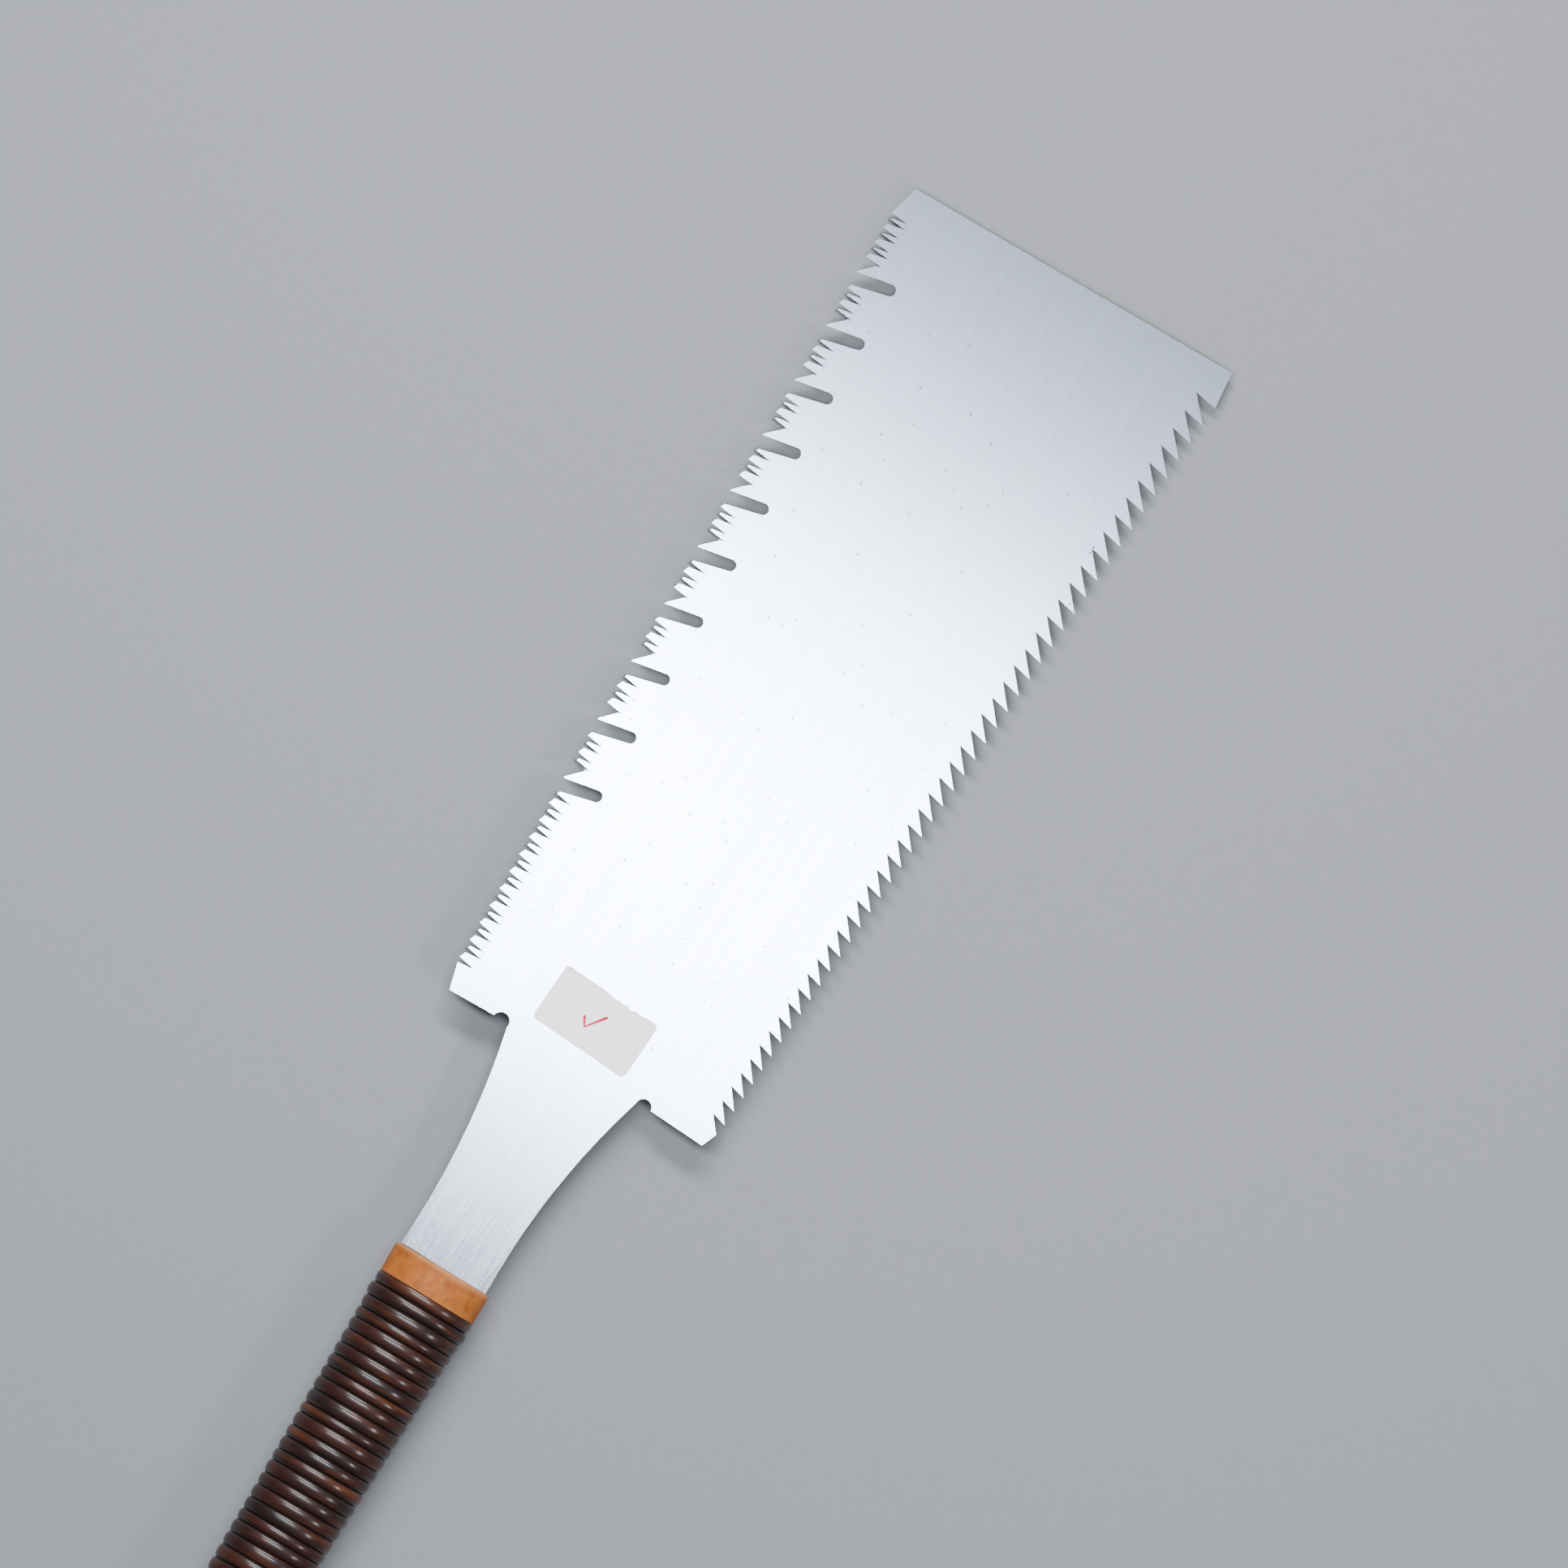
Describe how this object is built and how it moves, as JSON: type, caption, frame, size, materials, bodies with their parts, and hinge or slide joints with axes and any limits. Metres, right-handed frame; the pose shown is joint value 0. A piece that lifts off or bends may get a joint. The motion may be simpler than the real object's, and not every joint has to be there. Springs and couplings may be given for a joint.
{
  "type": "hand saw",
  "caption": "Double-edged pull saw: wide plate with rip teeth on one edge and crosscut teeth with window slots on the other, on a rattan-bound wooden handle.",
  "frame": {"origin": "on the surface that the saw lies on, under the middle of the whole saw's box", "axes": "+X to the blade's tip, +Y to the crosscut edge, +Z out of the blade's labelled face"},
  "size_m": [0.6718, 0.1096, 0.0266],
  "materials": {
    "saw_steel": "fine lengthwise brushed",
    "forged_iron": "forged, dull",
    "handle_wood": "oiled satin",
    "lacquered_rattan": "dark gloss lacquer",
    "label_paper": "matt paper"
  },
  "bodies": {
    "handle": {"handle_upper_half": "handle_wood", "handle_lower_half": "handle_wood", "rattan_strip_1": "lacquered_rattan", "rattan_strip_2": "lacquered_rattan", "rattan_strip_3": "lacquered_rattan"},
    "blade": {"saw_plate": "saw_steel", "tang": "forged_iron", "label": "label_paper"}
  },
  "joints": [
    {"name": "tang_pull", "type": "slide", "parent": "handle", "child": "blade", "axis": [1, 0, 0], "range_m": [0, 0.155]}
  ]
}
